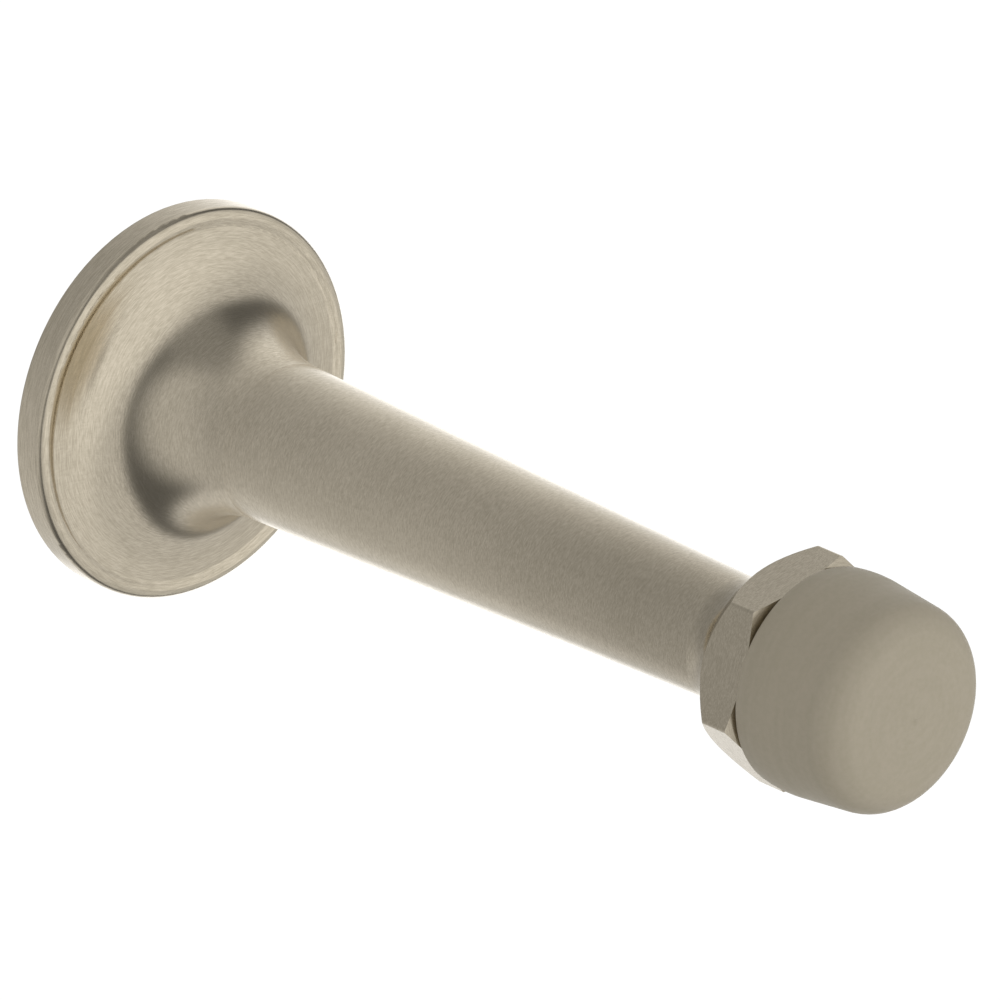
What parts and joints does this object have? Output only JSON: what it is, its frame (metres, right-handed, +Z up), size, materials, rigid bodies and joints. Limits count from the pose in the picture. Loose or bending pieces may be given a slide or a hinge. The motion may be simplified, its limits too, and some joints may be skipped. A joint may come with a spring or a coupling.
{
  "type": "rigid wall door stop",
  "caption": "Rigid door stop for a wall or baseboard: round flange, tapered metal stem, wrench hexagon and push-on rubber bumper, fixed by a concealed hanger bolt.",
  "frame": {"origin": "centre of the flange's back face, on the wall plane, where the hanger bolt enters the wall", "axes": "+Z up, +Y into the wall along the hanger bolt, stem and bumper along -Y"},
  "size_m": [0.0318, 0.0965, 0.0318],
  "materials": {
    "satin_nickel": "solid brass plated in satin nickel, finely brushed round the stem",
    "bumper_rubber": "smooth moulded rubber, matt, coloured to match the metal",
    "zinc_plated_steel": "bright zinc plate"
  },
  "bodies": {
    "fixing": {"hanger_bolt": "zinc_plated_steel"},
    "stop": {"stop_body": "satin_nickel"},
    "bumper": {"bumper_tip": "bumper_rubber"}
  },
  "joints": [
    {"name": "stop_unscrew", "type": "hinge", "parent": "fixing", "child": "stop", "pos_m": [0, 0, 0], "axis": [0, -1, 0], "range_deg": [0, 360]},
    {"name": "bumper_pull", "type": "slide", "parent": "stop", "child": "bumper", "axis": [0, -1, 0], "range_m": [0, 0.007]}
  ]
}
